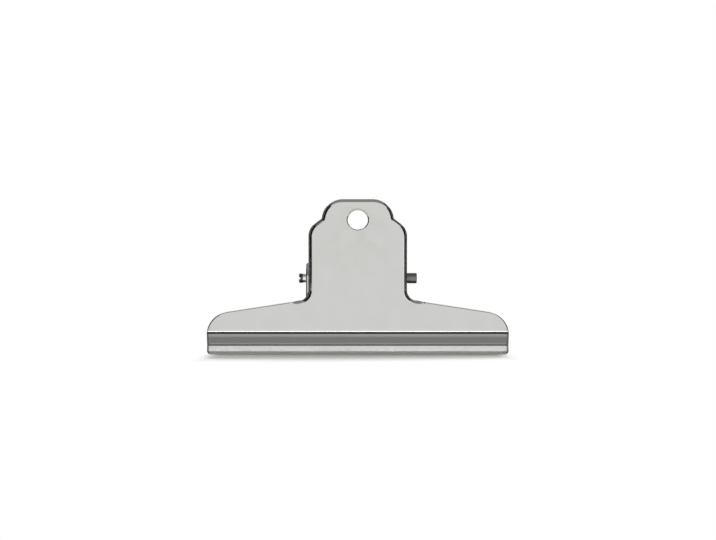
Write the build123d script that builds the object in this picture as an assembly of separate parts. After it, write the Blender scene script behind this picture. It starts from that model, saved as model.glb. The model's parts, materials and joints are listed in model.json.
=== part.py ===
from build123d import *
import math
import os

# Plated spring-steel sheet and the stance of the two plates
sheet = 0.8
jaw_width = 100.0
lip_spread = 0.4
plate_tilt = 6.5
axis_depth = 8.0

# Tang: the handle above the pin, heights from the pin axis along the plate
tang_width = 32.7
tang_top = 27.1
neck_step = 4.42
crown_radius = 7.0
crown_lean = 7.0
crown_flank = 0.05
notch_radius = 0.4
shoulder_angle = 37.5
shoulder_radius = 5.4
hang_hole = 6.8
hang_height = 20.45

# Rim turned back around the tang
rim_bend = 1.5
rim_depth = 2.0
rim_tail = 0.1
rim_fade = 3.0

# Ears that carry the pin; the rear plate passes outside one front ear and inside the other
ear_radius = 3.0
ear_rise = 7.5
ear_fall = 2.6
ear_gap = 0.12
step_gap = 0.25
step_run = 1.4
step_bend = 1.2
toe_radius = 2.2
toe_depth = 7.6
toe_drop = 5.6

# Wings of the jaw
wing_drop = 6.25
wing_slope = 8.8
base_fillet = 3.6
wing_corner = 7.8

# Jaw section: knee, slanted face, upright lip and flared lead-in
knee_bend = 1.0
slant_angle = 40.2
lip_drop = 22.33
lip_gap = 0.15
lip_length = 2.3
fold_bend = 0.2
crease_bend = 0.2
flare_angle = 45.0
flare_length = 0.78
lip_corner = 1.2

# Pivot pin with a formed head and a staked tail
pin_diameter = 2.9
pin_fit = 0.05
pin_play = 0.15
head_diameter = 3.5
head_length = 3.2
head_round = 0.35
tail_length = 2.2
tail_spread = 0.15
groove_width = 1.0
groove_depth = 0.6

# Torsion spring wound on the pin
wire = 1.5
coil_fit = 0.4
coil_pitch = 2.1
coil_turns = 10
leg_fit = 0.1
leg_top = 15.0
leg_elbow = 9.0
leg_bend = 4.0

# Rounded edges left by blanking and piercing
die_roll = 0.35
hole_roll = 0.45

# Allowance for cutting shapes to pass clear through the sheet
overrun = 3.0

ear_step = sheet + ear_gap
rim_end = base_fillet * math.tan(math.radians(90 - wing_slope) / 2) + rim_tail
step_ease = step_bend * math.tan(math.atan2(ear_step, step_run) / 2)
step_top = axis_depth - ear_radius - step_gap - step_ease
step_root = step_top - step_run - 2 * step_ease


def heading(degrees):
    """Unit step in a plane, for an angle counted up from level."""
    return math.cos(math.radians(degrees)), math.sin(math.radians(degrees))


def meet(p, p_heading, q, q_heading):
    """Crossing point of two lines, each given by a point and a heading."""
    px, py = heading(p_heading)
    qx, qy = heading(q_heading)
    along = ((q[0] - p[0]) * qy - (q[1] - p[1]) * qx) / (px * qy - py * qx)
    return p[0] + along * px, p[1] + along * py


def turn(p, q, r):
    """Positive where the way p, q, r bends to the left."""
    return (q[0] - p[0]) * (r[1] - q[1]) - (q[1] - p[1]) * (r[0] - q[0])


def left_normal(p, q):
    """Unit normal on the left of the way from p to q."""
    run = math.dist(p, q)
    return (p[1] - q[1]) / run, (q[0] - p[0]) / run


def shifted(points, gap):
    """Corners of a bent line moved to its left by a gap."""
    normals = [left_normal(p, q) for p, q in zip(points, points[1:])]
    before = [normals[0]] + normals
    after = normals + [normals[-1]]
    moved = []
    for (x, y), (ax, ay), (bx, by) in zip(points, before, after):
        grow = gap / (1 + ax * bx + ay * by)
        moved.append((x + (ax + bx) * grow, y + (ay + by) * grow))
    return moved


def bent(points, radii, gap):
    """A rounded bent line, moved to its left by a gap."""
    corners = zip(radii, points, points[1:], points[2:])
    grown = [r - gap if turn(p, q, s) > 0 else r + gap for r, p, q, s in corners]
    return FilletPolyline(*shifted(points, gap), radius=grown)


def strip(points, radii):
    """Section of a bent sheet whose middle follows the given corners."""
    left = bent(points, radii, sheet / 2)
    right = bent(points, radii, -sheet / 2)
    ends = [Line(left @ 0, right @ 0), Line(left @ 1, right @ 1)]
    return make_face([*left.edges(), *right.edges(), *ends])


def wing_point(along, inset):
    """Point beside the sloping edge of the right wing, counted from the tang."""
    ax, az = heading(-wing_slope)
    return tang_width / 2 + along * ax + inset * az, -wing_drop + along * az - inset * ax


def mirrored(points):
    """Left-hand copies of right-hand points, in reverse order."""
    return [(-x, z) for x, z in reversed(points)]


def rim_corners(reach):
    """Corners of the tang outline, from the left wing over the top to the right wing."""
    side = tang_width / 2
    crown_ease = crown_radius * math.tan(math.radians(90 - crown_lean) / 2)
    notch_ease = notch_radius * math.tan(math.radians(90 - crown_lean - shoulder_angle) / 2)
    flank = crown_ease + crown_flank + notch_ease
    fx, fz = heading(crown_lean - 90)
    notch = (side - neck_step, tang_top + flank * fz)
    crown = (notch[0] - flank * fx, tang_top)
    shoulder = meet(notch, -shoulder_angle, (side, 0), 90)
    right = [crown, notch, shoulder, (side, -wing_drop), wing_point(reach, 0)]
    return mirrored(right) + right


def rim_radii():
    """Corner radii that go with the tang outline."""
    right = [crown_radius, notch_radius, shoulder_radius, base_fillet]
    return right[::-1] + right


def rim_block(reach, inset, below, round_over, start, depth):
    """Solid block inside the tang outline with its front edge rounded over."""
    edge = bent(rim_corners(reach), rim_radii(), -inset)
    first, last = edge @ 0, edge @ 1
    low = [(last.X + below[0], last.Y + below[1]), (first.X - below[0], first.Y + below[1])]
    closing = Polyline(last, *low, first)
    face = Plane.XZ.offset(-start) * make_face([*edge.edges(), *closing.edges()])
    block = extrude(face, depth, dir=(0, 1, 0))
    front = block.faces().sort_by(Axis.Y)[0].edges()
    return fillet(front.filter_by(lambda e: e.center().Z > last.Y), round_over)


def ear_face():
    """Side view of one ear: a lobe around the pin on a wide root."""
    lobe = Pos(axis_depth, 0) * Circle(ear_radius)
    root = Line((0, ear_rise), (0, -ear_fall))
    return make_hull([*lobe.edges(), *root.edges()])


def toed_ear_face():
    """Side view of the outer rear ear, with a toe hanging below its root."""
    toe = Pos(toe_depth, -toe_drop) * Circle(toe_radius)
    return make_hull([*ear_face().edges(), *toe.edges()])


def side_block(face):
    """A side view carried across the full width of the clip."""
    return extrude(Plane.YZ * face, jaw_width / 2 + lip_spread, both=True)


def span(low, high):
    """Rectangle between two corners."""
    middle = ((low[0] + high[0]) / 2, (low[1] + high[1]) / 2)
    return Pos(*middle) * Rectangle(high[0] - low[0], high[1] - low[1])


def rimmed_tang(ear_depth):
    """Tang with its turned-back rim and the ears down to a given depth."""
    deep = axis_depth + ear_radius + overrun
    sx, sz = heading(-90 - wing_slope)
    outer = rim_block(rim_end, 0, (sx * rim_bend, sz * rim_bend), rim_bend, 0, deep)
    inner = rim_block(rim_end + overrun, sheet, (0, -overrun), rim_bend - sheet, sheet, deep)
    bend = span((-overrun, -tang_top), (rim_bend, tang_top + overrun))
    rim = span((-overrun, 0), (rim_depth, tang_top + overrun))
    ears = ear_face() & span((-overrun, -tang_top), (ear_depth, tang_top))
    return (outer - inner) & side_block(bend + rim + ears)


def stepped_ear(face, step):
    """Right-hand ear of the rear plate past its rim, stepped sideways."""
    rim_x = tang_width / 2 - sheet / 2
    corners = [
        (rim_x, step_root),
        (rim_x, step_top - step_run),
        (rim_x + step, step_top),
        (rim_x + step, axis_depth + ear_radius),
    ]
    section = strip(corners, [step_bend, step_bend])
    return extrude(section, tang_top, both=True) & side_block(face)


def rim_runout():
    """Right-hand end of the rim, where the bend flattens out into the wing."""
    hollow = rim_bend - sheet
    half = math.sqrt(0.5)

    def at(along, inset, depth):
        x, z = wing_point(along, inset)
        return x, depth, z

    def arc(radius):
        ends = (rim_bend, rim_bend - radius), (rim_bend - radius, rim_bend)
        middle = (rim_bend - radius * half, rim_bend - radius * half)
        return ends[0], middle, ends[1]

    outer = ThreePointArc(*[at(rim_end, *p) for p in arc(rim_bend)])
    inner = ThreePointArc(*[at(rim_end, *p) for p in arc(hollow)])
    bent_end = make_face([outer, Line(outer @ 1, inner @ 1), inner, Line(inner @ 0, outer @ 0)])
    flat = [(rim_bend, 0), (0, 0), (0, sheet), (rim_bend, sheet)]
    flat_end = make_face(Polyline(*[at(rim_end + rim_fade, *p) for p in flat], close=True))
    return loft([bent_end, flat_end], ruled=True)


def jaw_corners():
    """Middle line of wing, knee, slanted face, lip and lead-in, in the plate's own frame."""
    grip = -(lip_gap + sheet) / 2
    fold = (grip, -lip_drop)
    crease = (grip, -lip_drop - lip_length)
    fx, fz = heading(180 + flare_angle)
    tip = (grip + flare_length * fx, crease[1] + flare_length * fz)
    cos, sin = heading(plate_tilt)
    face_y = -(axis_depth - sheet / 2)
    knee = meet((face_y * cos, face_y * sin), 90 + plate_tilt, fold, 180 - slant_angle)
    upper = (sheet / 2, -wing_drop + overrun)
    lower = [(axis_depth + y * cos + z * sin, z * cos - y * sin) for y, z in (knee, fold, crease, tip)]
    return [upper, *lower]


def wing_outline(low):
    """Blanked outline of wings and jaw down to a given height, open where the rim joins."""
    fade = rim_end + rim_fade
    end = meet(wing_point(0, 0), -wing_slope, (jaw_width / 2, 0), 90)
    joint = [wing_point(rim_end, rim_bend), wing_point(fade, rim_bend), wing_point(fade, 0)]
    right = [*joint, end, (jaw_width / 2 + lip_spread, low)]
    radii = [0, 0, 0, wing_corner, lip_corner]
    return FilletPolyline(*right, *mirrored(right), radius=radii + radii[::-1], close=True)


def jaw():
    """Both wings with the jaw below them, cut to outline and rounded where the blank was sheared."""
    corners = jaw_corners()
    radii = [knee_bend + sheet / 2, fold_bend + sheet / 2, crease_bend + sheet / 2]
    section = strip(corners, radii)
    skin = bent(corners, radii, -sheet / 2)
    outline = make_face(wing_outline(section.bounding_box().min.Y))
    blank = extrude(Plane.XZ.offset(overrun) * outline, jaw_width, dir=(0, 1, 0))
    sheared = side_block(section) & blank
    joint_x = wing_point(rim_end + rim_fade, 0)[0]
    cut_faces = sheared.faces().filter_by(lambda f: abs(f.center().X) > joint_x)

    def on_skin(edge):
        spot = edge @ 0.5
        return skin.distance_to(Vertex(spot.Y, spot.Z)) < die_roll / 10

    return fillet(cut_faces.edges().filter_by(on_skin), die_roll)


def both_sides(half):
    """A right-hand feature with its left-hand twin."""
    return half + mirror(half, about=Plane.YZ)


def hang_edge(body):
    """Outer edge of the pierced hanging hole."""
    rings = body.edges().filter_by(GeomType.CIRCLE)
    return rings.filter_by(lambda e: math.isclose(e.radius, hang_hole / 2)).sort_by(Axis.Y)[0]


def plate(stepped):
    """One pressed plate about the pin axis, leaning forward as the front one does."""
    body = rimmed_tang(step_root if stepped else axis_depth + ear_radius)
    body += jaw() + both_sides(rim_runout())
    if stepped:
        body += stepped_ear(toed_ear_face(), ear_step)
        body += mirror(stepped_ear(ear_face(), -ear_step), about=Plane.YZ)
    body -= Pos(0, 0, hang_height) * Rot(90, 0, 0) * Cylinder(hang_hole / 2, 4 * sheet)
    body = fillet(hang_edge(body), hole_roll)
    bore = pin_diameter / 2 + pin_fit
    body -= Pos(0, axis_depth, 0) * Rot(0, 90, 0) * Cylinder(bore, 2 * tang_width)
    return Rot(plate_tilt, 0, 0) * Pos(0, -axis_depth, 0) * body


def pivot_pin():
    """Pin with a formed head on the right and a staked, grooved tail on the left."""
    radius = pin_diameter / 2
    right_seat = tang_width / 2 + pin_play
    left_seat = -right_seat - ear_step
    tail = left_seat - tail_length
    half = [
        (tail, 0),
        (tail, radius),
        (tail + tail_length / 4, radius + tail_spread),
        (left_seat, radius),
        (right_seat, radius),
        (right_seat, head_diameter / 2),
        (right_seat + head_length, head_diameter / 2),
        (right_seat + head_length, 0),
    ]
    body = revolve(make_face(Polyline(*half, close=True)), axis=Axis.X)
    rim = body.faces().sort_by(Axis.X)[-1].edges()
    body = fillet(rim, head_round)
    wedge = [(tail, groove_width / 2), (tail + groove_depth, 0), (tail, -groove_width / 2)]
    groove = extrude(Plane.XZ * make_face(Polyline(*wedge, close=True)), pin_diameter, both=True)
    return body - groove


def biarc(p, p_way, q, q_way):
    """Two arcs that join two points smoothly with the given ways."""
    reach = q - p
    both = p_way + q_way
    spare = 4 - both.dot(both)
    lean = reach.dot(both)
    arm = (math.sqrt(lean**2 + spare * reach.dot(reach)) - lean) / spare
    near = p + p_way * arm
    far = q - q_way * arm
    middle = (near + far) / 2
    return [TangentArc(p, middle, tangent=p_way), TangentArc(middle, q, tangent=far - near)]


def spring_path():
    """Middle line of the spring: front leg, coil around the pin, rear leg."""
    radius = pin_diameter / 2 + coil_fit + wire / 2
    cos, sin = heading(plate_tilt)
    reach = axis_depth - sheet - leg_fit - wire / 2

    def on_leg(height):
        return -reach * cos - height * sin, height * cos - reach * sin

    elbow = on_leg(leg_elbow)
    facing = math.degrees(math.atan2(elbow[1], elbow[0]))
    start = facing + math.degrees(math.acos(radius / math.hypot(*elbow)))
    sweep_angle = 540 - 2 * start + 360 * coil_turns
    steps = round(sweep_angle / 90)
    half = coil_pitch * sweep_angle / 720

    def on_coil(step):
        cy, cz = heading(start + sweep_angle * step / steps)
        return Vector(half * (2 * step / steps - 1), radius * cy, radius * cz)

    def way(step):
        cy, cz = heading(start + sweep_angle * step / steps)
        climb = 0 if step in (0, steps) else coil_pitch / (2 * math.pi * radius)
        return Vector(climb, -cz, cy).normalized()

    front = [Vector(-half, *on_leg(leg_top)), Vector(-half, *elbow), on_coil(0)]
    rear = [Vector(-p.X, -p.Y, p.Z) for p in reversed(front)]
    edges = list(FilletPolyline(*front, radius=leg_bend).edges())
    for step in range(steps):
        edges += biarc(on_coil(step), way(step), on_coil(step + 1), way(step + 1))
    edges += FilletPolyline(*rear, radius=leg_bend).edges()
    return Wire(edges)


def least_gap(path):
    """Smallest clear space between turns, from points along the wire."""
    count = round(path.length / (wire / 4))
    points = [path @ (i / count) for i in range(count + 1)]
    apart = round(3 * wire / (path.length / count))
    pairs = ((p, q) for i, p in enumerate(points) for q in points[i + apart:])
    return min((p - q).length for p, q in pairs) - wire


def torsion_spring():
    """Round wire swept along the spring path."""
    path = spring_path()
    print(f"torsion_spring least gap to itself {least_gap(path):.3f} mm")
    section = Plane(origin=path @ 0, z_dir=path % 0) * Circle(wire / 2)
    return sweep(section, path=path)


front = plate(stepped=False)
rear = Rot(0, 0, 180) * plate(stepped=True)
pin_height = -front.bounding_box().min.Z
lift = Pos(0, 0, pin_height)
parts = {
    "front_plate": lift * front,
    "rear_plate": lift * rear,
    "pivot_pin": lift * pivot_pin(),
    "torsion_spring": lift * torsion_spring(),
}

os.makedirs("parts", exist_ok=True)
for name, shape in parts.items():
    box = shape.bounding_box()
    print(f"{name} volume {shape.volume:.2f} from {box.min} to {box.max}")
    export_step(shape, f"parts/{name}.step")
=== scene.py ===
import json
import math

import bmesh
import bpy
from mathutils import Euler, Matrix, Vector


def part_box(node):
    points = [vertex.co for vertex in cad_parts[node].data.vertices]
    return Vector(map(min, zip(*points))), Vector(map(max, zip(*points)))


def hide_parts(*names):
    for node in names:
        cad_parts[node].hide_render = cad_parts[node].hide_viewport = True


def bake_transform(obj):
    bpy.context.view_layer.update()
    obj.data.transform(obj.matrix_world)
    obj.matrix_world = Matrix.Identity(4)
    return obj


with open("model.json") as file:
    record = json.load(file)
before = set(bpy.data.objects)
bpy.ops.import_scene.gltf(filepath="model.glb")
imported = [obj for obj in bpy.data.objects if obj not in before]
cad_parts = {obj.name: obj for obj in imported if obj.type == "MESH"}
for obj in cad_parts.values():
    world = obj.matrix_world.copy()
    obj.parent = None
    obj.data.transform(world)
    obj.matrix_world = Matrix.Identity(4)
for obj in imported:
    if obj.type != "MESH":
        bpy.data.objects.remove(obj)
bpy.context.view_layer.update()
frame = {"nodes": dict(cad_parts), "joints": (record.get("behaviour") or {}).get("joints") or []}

# Front plate and rear plate.
# Each is blanked and pressed in one piece from 0.8 mm cold-rolled spring steel, rim, ears and jaw
# bent from the same sheet, and then barrel plated with bright nickel.

mm = 0.001


def linear(hex_colour):
    """An sRGB hex colour as linear red, green, blue and alpha."""
    channels = [int(hex_colour[i:i + 2], 16) / 255 for i in (1, 3, 5)]
    return [c / 12.92 if c <= 0.04045 else ((c + 0.055) / 1.055) ** 2.4 for c in channels] + [1.0]


def add_node(tree, kind, inputs=None, **settings):
    """A shader node with its settings, and with values or links on its inputs."""
    node = tree.nodes.new("ShaderNode" + kind)
    for name, value in settings.items():
        setattr(node, name, value)
    for socket, value in (inputs or {}).items():
        if isinstance(value, bpy.types.NodeSocket):
            tree.links.new(value, node.inputs[socket])
        else:
            node.inputs[socket].default_value = value
    return node


def new_material(name):
    """An empty node material with its tree and its Object coordinates."""
    material = bpy.data.materials.new(name)
    material.use_nodes = True
    tree = material.node_tree
    tree.nodes.clear()
    return material, tree, add_node(tree, "TexCoord").outputs["Object"]


def where_all(tree, *limits):
    """Mask that is full only where every value has passed from its first limit to its second."""
    mask = 1.0
    for value, empty, full in limits:
        passed = add_node(tree, "MapRange", {"Value": value, "From Min": empty, "From Max": full})
        mask = add_node(tree, "Math", {
            0: mask, 1: passed.outputs["Result"],
        }, operation="MULTIPLY").outputs["Value"]
    return mask


def crossing_scratches(tree, moved):
    """Mask of the fine scratches of barrel plating, which cross in three directions."""
    length = 5 * mm
    # Real scratches are hairlines of 0.01 mm, drawn coarser here so that they show.
    width = 0.07 * mm
    clean, scratched = 0.70, 0.78
    scratches = 0.0
    for turn in (25, -40, 80):
        across = add_node(tree, "Mapping", {
            "Vector": moved, "Rotation": (0, math.radians(turn), 0),
        })
        stretched = add_node(tree, "Mapping", {
            "Vector": across.outputs["Vector"], "Scale": (1 / length, 1 / length, 1 / width),
        })
        lines = add_node(tree, "TexNoise", {
            "Vector": stretched.outputs["Vector"], "Scale": 1.0, "Detail": 1.0,
        })
        kept = add_node(tree, "MapRange", {
            "Value": lines.outputs["Fac"], "From Min": clean, "From Max": scratched,
        })
        scratches = add_node(tree, "Math", {
            0: scratches, 1: kept.outputs["Result"],
        }, operation="MAXIMUM").outputs["Value"]
    return scratches


def finger_haze(tree, place, moved):
    """Mask of the patchy haze where fingers and thumb squeeze the tangs."""
    thumb_height = 38 * mm
    thumb_reach = 15 * mm
    patch_size = 4 * mm
    clean, hazed = 0.42, 0.62
    in_plate = add_node(tree, "VectorMath", {0: place, 1: (1, 0, 1)}, operation="MULTIPLY")
    from_thumb = add_node(tree, "VectorMath", {
        0: in_plate.outputs["Vector"], 1: (0, 0, thumb_height),
    }, operation="DISTANCE")
    pressed = add_node(tree, "MapRange", {
        "Value": from_thumb.outputs["Value"], "From Min": thumb_reach, "From Max": thumb_reach / 4,
    }, interpolation_type="SMOOTHSTEP")
    prints = add_node(tree, "TexNoise", {"Vector": moved, "Scale": 1 / patch_size, "Detail": 5.0})
    patches = add_node(tree, "MapRange", {
        "Value": prints.outputs["Fac"], "From Min": clean, "From Max": hazed,
    })
    return add_node(tree, "Math", {
        0: pressed.outputs["Result"], 1: patches.outputs["Result"],
    }, operation="MULTIPLY").outputs["Value"]


def dull_edges(tree):
    """Mask of the narrow bands along sharp edges, where plating is dullest."""
    band = 0.25 * mm
    flat, sharp = 0.98, 0.75
    rounded = add_node(tree, "Bevel", {"Radius": band}, samples=4)
    facing = add_node(tree, "VectorMath", {
        0: rounded.outputs["Normal"], 1: add_node(tree, "NewGeometry").outputs["Normal"],
    }, operation="DOT_PRODUCT")
    return where_all(tree, (facing.outputs["Value"], flat, sharp))


def shaded_flare(tree, place, cloud):
    """Mask of the flared lead-in up to an uneven line, where the plate is painted darker as shade
    and made rougher.
    """
    flare_top = 1.15 * mm
    fade = 0.2 * mm
    height = add_node(tree, "SeparateXYZ", {"Vector": place}).outputs["Z"]
    uneven = add_node(tree, "Math", {0: cloud, 1: fade, 2: height}, operation="MULTIPLY_ADD")
    return where_all(tree, (uneven.outputs["Value"], flare_top + fade, flare_top))


def shaded_cut_ends(tree, place):
    """Mask of a thin line up each end of the jaw, from its foot to the knee, painted dark partly
    as shade in the rolled end and partly as the duller cut sheet.
    """
    line_width = 0.8 * mm
    fade = 0.32 * mm
    knee_height = 7.6 * mm
    knee_fade = 0.2 * mm
    # The ends lean outwards, and reach furthest at the foot of the jaw.
    jaw_end = 50.4 * mm
    end_lean = 0.0285
    either_side = add_node(tree, "VectorMath", {0: place}, operation="ABSOLUTE")
    outward = add_node(tree, "VectorMath", {
        0: either_side.outputs["Vector"], 1: (1, 0, end_lean),
    }, operation="DOT_PRODUCT")
    height = add_node(tree, "SeparateXYZ", {"Vector": place}).outputs["Z"]
    return where_all(
        tree,
        (outward.outputs["Value"], jaw_end - line_width, jaw_end - line_width + fade),
        (height, knee_height + knee_fade, knee_height),
    )


def shaded_bare_ear_edge(tree, place):
    """Mask of the outer part of the cut edge around the ear that lies outside the tang, painted
    dark partly as shade and partly as bare cut sheet.
    """
    ear_face = 16.8 * mm
    face_fade = 0.05 * mm
    ear_length = 8.2 * mm
    length_fade = 0.2 * mm
    pin_height = 25.46 * mm
    face_on, edge_on = 0.5, 0.2
    across_pin = add_node(tree, "VectorMath", {0: place, 1: (0, 1, 1)}, operation="MULTIPLY")
    from_pin = add_node(tree, "VectorMath", {
        0: across_pin.outputs["Vector"], 1: (0, 0, pin_height),
    }, operation="DISTANCE")
    sideways = []
    for vector in (place, add_node(tree, "NewGeometry").outputs["Normal"]):
        either_side = add_node(tree, "VectorMath", {0: vector}, operation="ABSOLUTE")
        apart = add_node(tree, "SeparateXYZ", {"Vector": either_side.outputs["Vector"]})
        sideways.append(apart.outputs["X"])
    reach, facing = sideways
    return where_all(
        tree,
        (reach, ear_face, ear_face + face_fade),
        (from_pin.outputs["Value"], ear_length + length_fade, ear_length),
        (facing, face_on, edge_on),
    )


def bright_nickel_plate(name, shift):
    """Bright nickel on rolled sheet: a pale neutral mirror, a little cloudy and faintly wavy, with
    the grain of the rolled strip along the jaw and the fine crossing scratches of barrel plating.
    It is hazed by fingers on the tang and dulled along its edges. The flare is painted darker as
    shade. A line up each end of the jaw and the cut edge around the outer ear are painted dark,
    partly as shade and partly as bare cut sheet."""
    material, tree, place = new_material(name)
    cloud_size = 7 * mm
    wave_size = 16 * mm
    wave_depth = 0.03 * mm
    grain_length = 14 * mm
    # Real rolling grain is some 0.03 mm wide, drawn coarser here so that it shows.
    grain_width = 0.22 * mm
    grain_depth = 0.004 * mm
    grain_low, grain_high = 0.3, 0.7
    scratch_depth = 0.006 * mm
    smoothest, roughest = 0.08, 0.14

    moved = add_node(tree, "VectorMath", {0: place, 1: shift}, operation="ADD").outputs["Vector"]
    cloud = add_node(tree, "TexNoise", {
        "Vector": moved, "Scale": 1 / cloud_size, "Detail": 4.0,
    }).outputs["Fac"]
    wave = add_node(tree, "TexNoise", {"Vector": moved, "Scale": 1 / wave_size, "Detail": 1.0})
    along = add_node(tree, "Mapping", {
        "Vector": moved, "Scale": (1 / grain_length, 1 / grain_width, 1 / grain_width),
    })
    grain = add_node(tree, "TexNoise", {
        "Vector": along.outputs["Vector"], "Scale": 1.0, "Detail": 3.0,
    })
    scratches = crossing_scratches(tree, moved)
    haze = finger_haze(tree, place, moved)
    edges = dull_edges(tree)
    flare_shade = shaded_flare(tree, place, cloud)
    cut_ends_and_shade = shaded_cut_ends(tree, place)
    # The outer ear's cut edge, painted dark partly as shade and partly as bare sheet.
    bare = shaded_bare_ear_edge(tree, place)

    colour = add_node(tree, "Mix", {
        "Factor": cloud, "A": linear("#C9CAC7"), "B": linear("#D0D1CE"),
    }, data_type="RGBA")
    for mask, strength, tint in (
        (haze, 0.5, "#C7C7C0"),
        (edges, 0.6, "#A3A29E"),
        # The flare is tinted as painted shade. The jaw's ends and the outer ear's cut edge are
        # tinted partly as painted shade and partly as bare cut sheet.
        (flare_shade, 1.0, "#B6B5B1"),
        (cut_ends_and_shade, 0.9, "#858481"),
        (bare, 0.9, "#4F4E4B"),
    ):
        share = add_node(tree, "Math", {0: mask, 1: strength}, operation="MULTIPLY")
        colour = add_node(tree, "Mix", {
            "Factor": share.outputs["Value"], "A": colour.outputs["Result"], "B": linear(tint),
        }, data_type="RGBA")
    roughness = add_node(tree, "MapRange", {
        "Value": grain.outputs["Fac"], "From Min": grain_low, "From Max": grain_high,
        "To Min": smoothest, "To Max": roughest,
    }).outputs["Result"]
    for mask, rise in (
        (scratches, 0.10), (haze, 0.05), (edges, 0.10), (flare_shade, 0.12), (cut_ends_and_shade, 0.05),
    ):
        raised = add_node(tree, "Math", {0: mask, 1: rise, 2: roughness}, operation="MULTIPLY_ADD")
        roughness = raised.outputs["Value"]
    wave_bump = add_node(tree, "Bump", {
        "Strength": 1.0, "Distance": wave_depth, "Height": wave.outputs["Fac"],
    })
    grain_bump = add_node(tree, "Bump", {
        "Strength": 0.25, "Distance": grain_depth, "Height": grain.outputs["Fac"],
        "Normal": wave_bump.outputs["Normal"],
    })
    scratch_bump = add_node(tree, "Bump", {
        "Strength": 0.5, "Distance": scratch_depth, "Height": scratches,
        "Normal": grain_bump.outputs["Normal"],
    }, invert=True)
    shader = add_node(tree, "BsdfPrincipled", {
        "Base Color": colour.outputs["Result"],
        "Metallic": 1.0,
        "Roughness": roughness,
        "Normal": scratch_bump.outputs["Normal"],
    })
    add_node(tree, "OutputMaterial", {"Surface": shader.outputs["BSDF"]})
    return material


# The rear plate has the same finish, with its clouds and scratches in other places.
plates = {"front_plate": (0, 0, 0), "rear_plate": (0.31, 0.17, 0.23)}
for node, shift in plates.items():
    frame["nodes"][node].data.materials[0] = bright_nickel_plate(f"bright_nickel_{node}", shift)

# Pivot pin.
# A length of drawn steel wire with a formed head on the right, pushed through the four ears and
# staked over on the left, where the chisel leaves a bare groove.

head_length = 3.2 * mm
staked_length = 1.2 * mm


def drawn_pin_steel(name, staked_end, head_start):
    """Drawn wire with bright plate, streaked along its length; crushed bare steel at the staked
    end and a dull scaled head where it was upset."""
    material, tree, place = new_material(name)
    streak_length = 12 * mm
    # Real drawing streaks are some 0.02 mm wide, drawn coarser here so that they show.
    streak_width = 0.2 * mm
    streak_depth = 0.006 * mm
    crush_size = 0.35 * mm
    crush_depth = 0.04 * mm
    staked_fade = 0.2 * mm
    head_fade = 0.1 * mm
    drawn_roughness, crushed_roughness = 0.16, 0.4

    along = add_node(tree, "Mapping", {
        "Vector": place, "Scale": (1 / streak_length, 1 / streak_width, 1 / streak_width),
    })
    streaks = add_node(tree, "TexNoise", {
        "Vector": along.outputs["Vector"], "Scale": 1.0, "Detail": 3.0,
    })
    crush = add_node(tree, "TexNoise", {"Vector": place, "Scale": 1 / crush_size, "Detail": 4.0})
    x = add_node(tree, "SeparateXYZ", {"Vector": place}).outputs["X"]
    staked = where_all(tree, (x, staked_end + staked_fade, staked_end))
    upset = where_all(tree, (x, head_start - head_fade, head_start))
    bare = add_node(tree, "Math", {0: staked, 1: upset}, operation="MAXIMUM").outputs["Value"]

    colour = add_node(tree, "Mix", {
        "Factor": streaks.outputs["Fac"], "A": linear("#E2E1DD"), "B": linear("#F2F1EE"),
    }, data_type="RGBA")
    for end, dark, light in ((upset, "#6C6B6A", "#929190"), (staked, "#474543", "#6B6967")):
        dulled = add_node(tree, "Mix", {
            "Factor": crush.outputs["Fac"], "A": linear(dark), "B": linear(light),
        }, data_type="RGBA")
        colour = add_node(tree, "Mix", {
            "Factor": end, "A": colour.outputs["Result"], "B": dulled.outputs["Result"],
        }, data_type="RGBA")
    roughness = add_node(tree, "MapRange", {
        "Value": bare, "To Min": drawn_roughness, "To Max": crushed_roughness,
    })
    streak_bump = add_node(tree, "Bump", {
        "Strength": 0.4, "Distance": streak_depth, "Height": streaks.outputs["Fac"],
    })
    crushed = add_node(tree, "Math", {0: crush.outputs["Fac"], 1: bare}, operation="MULTIPLY")
    crush_bump = add_node(tree, "Bump", {
        "Strength": 0.6, "Distance": crush_depth, "Height": crushed.outputs["Value"],
        "Normal": streak_bump.outputs["Normal"],
    })
    shader = add_node(tree, "BsdfPrincipled", {
        "Base Color": colour.outputs["Result"],
        "Metallic": 1.0,
        "Roughness": roughness.outputs["Result"],
        "Normal": crush_bump.outputs["Normal"],
    })
    add_node(tree, "OutputMaterial", {"Surface": shader.outputs["BSDF"]})
    return material


pin_low, pin_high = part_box("pivot_pin")
frame["nodes"]["pivot_pin"].data.materials[0] = drawn_pin_steel(
    "drawn_pin_steel", pin_low.x + staked_length, pin_high.x - head_length,
)

# Torsion spring.
# Round spring wire wound around the pin, with a leg up the inside of each tang that pushes the
# tangs apart and so closes the jaw. Wound cold from oil-drawn wire, with its ends cropped.

wire = 1.5 * mm
coil_radius = 2.6 * mm
coil_pitch = 2.1 * mm
coil_turns = 10
leg_reach = 6.35 * mm
leg_top = 15 * mm
leg_elbow = 9 * mm
leg_bend = 4 * mm
leg_lean = math.radians(6.5)
crop_round = 0.15 * mm
crop_steps = 3
wire_sides = 24
steps_a_turn = 48
hinge = next(j for j in frame["joints"] if j["name"] == "jaw_hinge")
axis = Vector(hinge["pos_m"])


def on_leg(height):
    """Point of the front leg in the plane across the pin, from the pin axis."""
    cos, sin = math.cos(leg_lean), math.sin(leg_lean)
    return Vector((0, -leg_reach * cos - height * sin, height * cos - leg_reach * sin))


def around_pin(angle):
    """Unit vector across the pin, counted from +Y towards +Z."""
    return Vector((0, math.cos(angle), math.sin(angle)))


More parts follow.
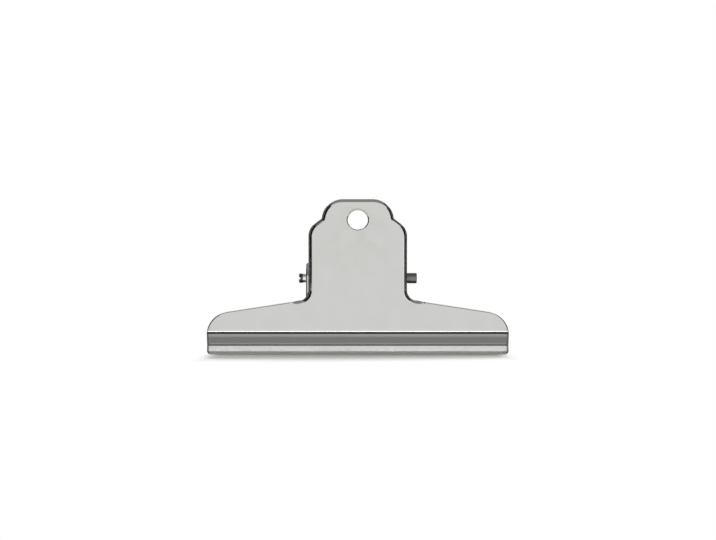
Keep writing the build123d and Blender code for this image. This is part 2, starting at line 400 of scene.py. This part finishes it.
elbow = on_leg(leg_elbow)
coil_start = math.atan2(elbow.z, elbow.y) + math.acos(coil_radius / elbow.length)
coil_sweep = 3 * math.pi - 2 * coil_start + 2 * math.pi * coil_turns
coil_half = coil_pitch * coil_sweep / (4 * math.pi)
leg_way = (elbow - on_leg(leg_top)).normalized()
coil_way = (around_pin(coil_start) * coil_radius - elbow).normalized()
bend_angle = leg_way.angle(coil_way)
bend_ease = leg_bend * math.tan(bend_angle / 2)
leg_run = leg_top - leg_elbow - bend_ease
coil_run = (around_pin(coil_start) * coil_radius - elbow).length - bend_ease


def pull(bm, ring, way):
    """Carries the open end of the wire straight on."""
    drawn = bmesh.ops.extrude_edge_only(bm, edges=ring)["geom"]
    bmesh.ops.translate(bm, vec=way, verts=[v for v in drawn if isinstance(v, bmesh.types.BMVert)])
    return [e for e in drawn if isinstance(e, bmesh.types.BMEdge) and e.is_boundary]


def wind(bm, ring, centre, angle, steps, climb):
    """Winds the open end of the wire around a line along the pin."""
    verts = list({v for e in ring for v in e.verts})
    wound = bmesh.ops.spin(
        bm, geom=ring + verts, cent=centre, axis=(1, 0, 0), angle=angle, steps=steps,
        dvec=(climb / steps, 0, 0),
    )["geom_last"]
    return [e for e in wound if isinstance(e, bmesh.types.BMEdge)]


def wound_spring():
    """One unbroken wire: front leg, bend, coil, bend and rear leg."""
    bm = bmesh.new()
    start = axis + Vector((-coil_half, 0, 0)) + on_leg(leg_top)
    stand = leg_way.to_track_quat("Z", "X").to_matrix().to_4x4()
    bmesh.ops.create_circle(
        bm, segments=wire_sides, radius=wire / 2, matrix=Matrix.Translation(start) @ stand,
    )
    first = list(bm.edges)
    turn_side = math.copysign(1, leg_way.cross(coil_way).x)
    side = Vector((turn_side, 0, 0))
    bend_steps = math.ceil(steps_a_turn * bend_angle / math.tau) * 2
    bend_start = start + leg_way * leg_run
    front_bend = bend_start + side.cross(leg_way) * leg_bend
    ring = pull(bm, first, leg_way * leg_run)
    ring = wind(bm, ring, front_bend, turn_side * bend_angle, bend_steps, 0)
    ring = pull(bm, ring, coil_way * coil_run)
    coil_steps = round(steps_a_turn * coil_sweep / math.tau)
    ring = wind(bm, ring, axis, coil_sweep, coil_steps, 2 * coil_half)
    rear_coil_way = Vector((0, coil_way.y, -coil_way.z))
    rear_leg_way = Vector((0, leg_way.y, -leg_way.z))
    ring = pull(bm, ring, rear_coil_way * coil_run)
    rear_bend = Vector((2 * axis.x - front_bend.x, 2 * axis.y - front_bend.y, front_bend.z))
    ring = wind(bm, ring, rear_bend, turn_side * bend_angle, bend_steps, 0)
    ring = pull(bm, ring, rear_leg_way * leg_run)
    for open_end in (first, ring):
        bmesh.ops.contextual_create(bm, geom=open_end)
    bmesh.ops.recalc_face_normals(bm, faces=bm.faces)
    for face in bm.faces:
        face.smooth = True
    bmesh.ops.bevel(
        bm, geom=first + ring, offset=crop_round, segments=crop_steps, profile=0.5,
        affect="EDGES", material=-1,
    )
    mesh = bpy.data.meshes.new("spring_wire")
    bm.to_mesh(mesh)
    bm.free()
    return mesh


def oil_drawn_wire(name):
    """Oil-drawn spring wire: dark grey steel with a dull oiled sheen, patches of darker oil film
    and fine pits."""
    material, tree, place = new_material(name)
    film_size = 2.5 * mm
    pit_size = 0.25 * mm
    pit_depth = 0.01 * mm
    dry_roughness, oiled_roughness = 0.42, 0.26
    film = add_node(tree, "TexNoise", {"Vector": place, "Scale": 1 / film_size, "Detail": 4.0})
    pits = add_node(tree, "TexNoise", {"Vector": place, "Scale": 1 / pit_size, "Detail": 3.0})
    colour = add_node(tree, "Mix", {
        "Factor": film.outputs["Fac"], "A": linear("#7C7A76"), "B": linear("#A9A7A2"),
    }, data_type="RGBA")
    roughness = add_node(tree, "MapRange", {
        "Value": film.outputs["Fac"], "To Min": dry_roughness, "To Max": oiled_roughness,
    })
    bump = add_node(tree, "Bump", {
        "Strength": 0.4, "Distance": pit_depth, "Height": pits.outputs["Fac"],
    })
    shader = add_node(tree, "BsdfPrincipled", {
        "Base Color": colour.outputs["Result"],
        "Metallic": 1.0,
        "Roughness": roughness.outputs["Result"],
        "Normal": bump.outputs["Normal"],
    })
    add_node(tree, "OutputMaterial", {"Surface": shader.outputs["BSDF"]})
    return material


spring = bpy.data.objects.new("wound_spring", wound_spring())
bpy.context.scene.collection.objects.link(spring)
spring.data.materials.append(oil_drawn_wire("oil_drawn_wire"))
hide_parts("torsion_spring")
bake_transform(spring)

# Table and studio.
# A plain white table runs out to a white surround, under a soft sky and a broad lamp behind the
# clip. Glowing cards that light nothing and that only the polished metal sees stand beside the
# clip and lie around its foot. They paint the highlights, dark lines and shade in its mirror.

table_size = 6.0


def flat_sheet(name, paint, stand):
    """A one-face sheet of unit size with its paint, set up by its stand."""
    mesh = bpy.data.meshes.new(name)
    bm = bmesh.new()
    bmesh.ops.create_grid(bm, x_segments=1, y_segments=1, size=0.5, matrix=stand)
    bm.to_mesh(mesh)
    bm.free()
    mesh.materials.append(paint)
    sheet = bpy.data.objects.new(name, mesh)
    bpy.context.scene.collection.objects.link(sheet)
    return sheet


def white_table_paint(name):
    """Matt white paint that takes the clip's shadow. Away from the clip it is plain white to the
    camera and in the metal's mirror, so the table has no edge."""
    material, tree, place = new_material(name)
    path = add_node(tree, "LightPath")
    seen = 0.0
    for ray in ("Is Camera Ray", "Is Glossy Ray", "Is Transmission Ray"):
        seen = add_node(tree, "Math", {
            0: seen, 1: path.outputs[ray],
        }, operation="MAXIMUM").outputs["Value"]
    # The white begins just past the ends of the jaw, and further out before and behind it, so the
    # mix paints how the shadow fades. It stops at the jaw's ends, and reaches further on the left
    # before the clip and further on the right behind it.
    along_jaw, across_jaw = (1, 0, 0), (-0.17, 0.985, 0)
    outward = 0.0
    for way, nearest, furthest in ((along_jaw, 0.045, 0.053), (across_jaw, 0.016, 0.076)):
        apart = add_node(tree, "VectorMath", {0: place, 1: way}, operation="DOT_PRODUCT")
        distance = add_node(tree, "Math", {0: apart.outputs["Value"]}, operation="ABSOLUTE")
        past = add_node(tree, "MapRange", {
            "Value": distance.outputs["Value"], "From Min": nearest, "From Max": furthest,
        }, interpolation_type="SMOOTHSTEP")
        outward = add_node(tree, "Math", {
            0: outward, 1: past.outputs["Result"],
        }, operation="MAXIMUM").outputs["Value"]
    white_share = add_node(tree, "Math", {0: seen, 1: outward}, operation="MULTIPLY")
    paint = add_node(tree, "BsdfDiffuse", {"Color": linear("#F6F6F5")})
    white = add_node(tree, "Emission", {"Color": linear("#FFFFFF"), "Strength": 1.0})
    surface = add_node(tree, "MixShader", {
        0: white_share.outputs["Value"], 1: paint.outputs["BSDF"], 2: white.outputs["Emission"],
    })
    add_node(tree, "OutputMaterial", {"Surface": surface.outputs["Shader"]})
    return material


flat_sheet("table", white_table_paint("white_table"), Matrix.Scale(table_size, 4))


def card_paint(name, level):
    """Even card: at a level of 1 it is as white as the table, and near 0 it is dark."""
    material, tree, _ = new_material(name)
    glow = add_node(tree, "Emission", {"Strength": level})
    add_node(tree, "OutputMaterial", {"Surface": glow.outputs["Emission"]})
    material.cycles.emission_sampling = "NONE"
    return material


def card(name, middle, size, turn, level):
    """A flat card that the metal sees and the camera doesn't, turned by degrees about X, Y, Z."""
    facing = Euler([math.radians(angle) for angle in turn])
    stand = Matrix.LocRotScale(Vector(middle), facing, Vector((*size, 1)))
    sheet = flat_sheet(name, card_paint(name, level), stand)
    sheet.visible_camera = False
    sheet.visible_diffuse = False
    sheet.visible_shadow = False


lying = (0, 0, 0)
upright = (0, 90, 0)
black = 0.012
charcoal = 0.06
grey = 0.5
for end in (-1, 1):
    # Glowing sheets before and behind the clip, which its tang, wings, knee and slanted face
    # mirror. The light strip paints the highlight along the knee, the dark strip the dark line
    # under it, and the shade strip the shade at the top of the slanted face.
    card("white_sheet", (0, end * 0.2, 0.0002), (0.6, 0.36), lying, 1.0)
    card("light_strip", (0, end * 0.0205, 0.0004), (0.16, 0.007), lying, 2.2)
    card("dark_strip", (0, end * 0.01165, 0.0004), (0.16, 0.0107), lying, 0.03)
    card("shade_strip", (0, end * 0.00485, 0.0003), (0.101, 0.0029), lying, grey)
    # Dark sheets and cards to the left and right, which draw the dark line around the tang.
    left_aside = (0, 0, end * 26)
    right_aside = (0, 0, end * -41.6)
    card("left_dark_sheet", (-0.2715, end * 0.1701, 0.0008), (0.32, 0.32), left_aside, black)
    card("right_dark_sheet", (0.305, end * 0.0956, 0.0008), (0.32, 0.32), right_aside, black)
    card("right_light_sheet", (0.1303, end * 0.2038, 0.0009), (0.085, 0.24), right_aside, 1.12)
    card("left_dark_card", (-0.16, end * 0.17, 0.0925), (0.185, 0.32), upright, black)
    card("right_dark_card", (0.16, end * 0.105, 0.0775), (0.155, 0.19), upright, black)
    card("left_upper_card", (-0.16, end * 0.065, 0.2225), (0.075, 0.13), upright, charcoal)
    card("right_upper_card", (0.16, end * 0.055, 0.2075), (0.105, 0.11), upright, charcoal)
for side in (-1, 1):
    # Dark sheets past the ends of the jaw, with a grey strip in line with it for the ears and pin.
    card("end_sheet", (side * 0.0545, 0, 0.0007), (0.006, 0.076), lying, black)
    card("side_sheet", (side * 0.1325, 0, 0.0007), (0.055, 0.2), lying, black)
    card("side_glow_sheet", (side * 0.132, 0, 0.0009), (0.054, 0.018), lying, grey)
    card("side_glow_card", (side * 0.159, 0, 0.0925), (0.185, 0.018), upright, grey)
# Glowing sheets under the lips, which the slanted face and the flare mirror: they paint the shade
# under the jaw.
card("under_sheet", (0, 0, 0.0001), (0.101, 0.0068), lying, 0.3)
card("flare_sheet", (0, 0, 0.00015), (0.101, 0.0022), lying, 0.72)

# The sky lights the clip evenly. In the metal's mirror it goes from white at the horizon to grey
# overhead, and the camera sees it plain white.
sky_light = 0.5
sky_white = 1.0
overhead_grey = 0.32
white_below, grey_above = 0.5, 0.68
world = bpy.data.worlds.new("studio")
world.use_nodes = True
tree = world.node_tree
tree.nodes.clear()
way = add_node(tree, "TexCoord").outputs["Generated"]
height = add_node(tree, "SeparateXYZ", {"Vector": way}).outputs["Z"]
path = add_node(tree, "LightPath")
mirrored = add_node(tree, "Math", {
    0: path.outputs["Is Glossy Ray"], 1: path.outputs["Is Transmission Ray"],
}, operation="MAXIMUM")
shown = add_node(tree, "MapRange", {
    "Value": height, "From Min": white_below, "From Max": grey_above,
    "To Min": sky_white, "To Max": overhead_grey,
})
level = add_node(tree, "Mix", {
    "Factor": mirrored.outputs["Value"], "A": sky_light, "B": shown.outputs["Result"],
})
level = add_node(tree, "Mix", {
    "Factor": path.outputs["Is Camera Ray"], "A": level.outputs["Result"], "B": sky_white,
})
sky = add_node(tree, "Background", {
    "Color": linear("#FFFFFF"), "Strength": level.outputs["Result"],
})
add_node(tree, "OutputWorld", {"Surface": sky.outputs["Background"]})
bpy.context.scene.world = world

lamp = bpy.data.lights.new("broad_lamp", "SUN")
lamp.angle = math.radians(24)
lamp.energy = 7.6
lamp_stand = bpy.data.objects.new("broad_lamp", lamp)
lamp_stand.location = (0.04, 0.6, 0.15)
aim = -lamp_stand.location
lamp_stand.rotation_euler = aim.to_track_quat("-Z", "Y").to_euler()
lamp_stand.visible_glossy = False
bpy.context.scene.collection.objects.link(lamp_stand)

# Camera.
# It stands straight in front of the clip, a little above the pin, and looks level along +Y through
# a long lens.

camera_data = bpy.data.cameras.new("camera")
camera_data.sensor_width = 36
camera_data.lens = 127.9
camera = bpy.data.objects.new("camera", camera_data)
camera.location = (0.00007, -0.85, 0.0282)
camera.rotation_euler = (math.radians(90), 0, 0)
bpy.context.scene.collection.objects.link(camera)
bpy.context.scene.camera = camera
bpy.context.scene.view_settings.view_transform = "Standard"
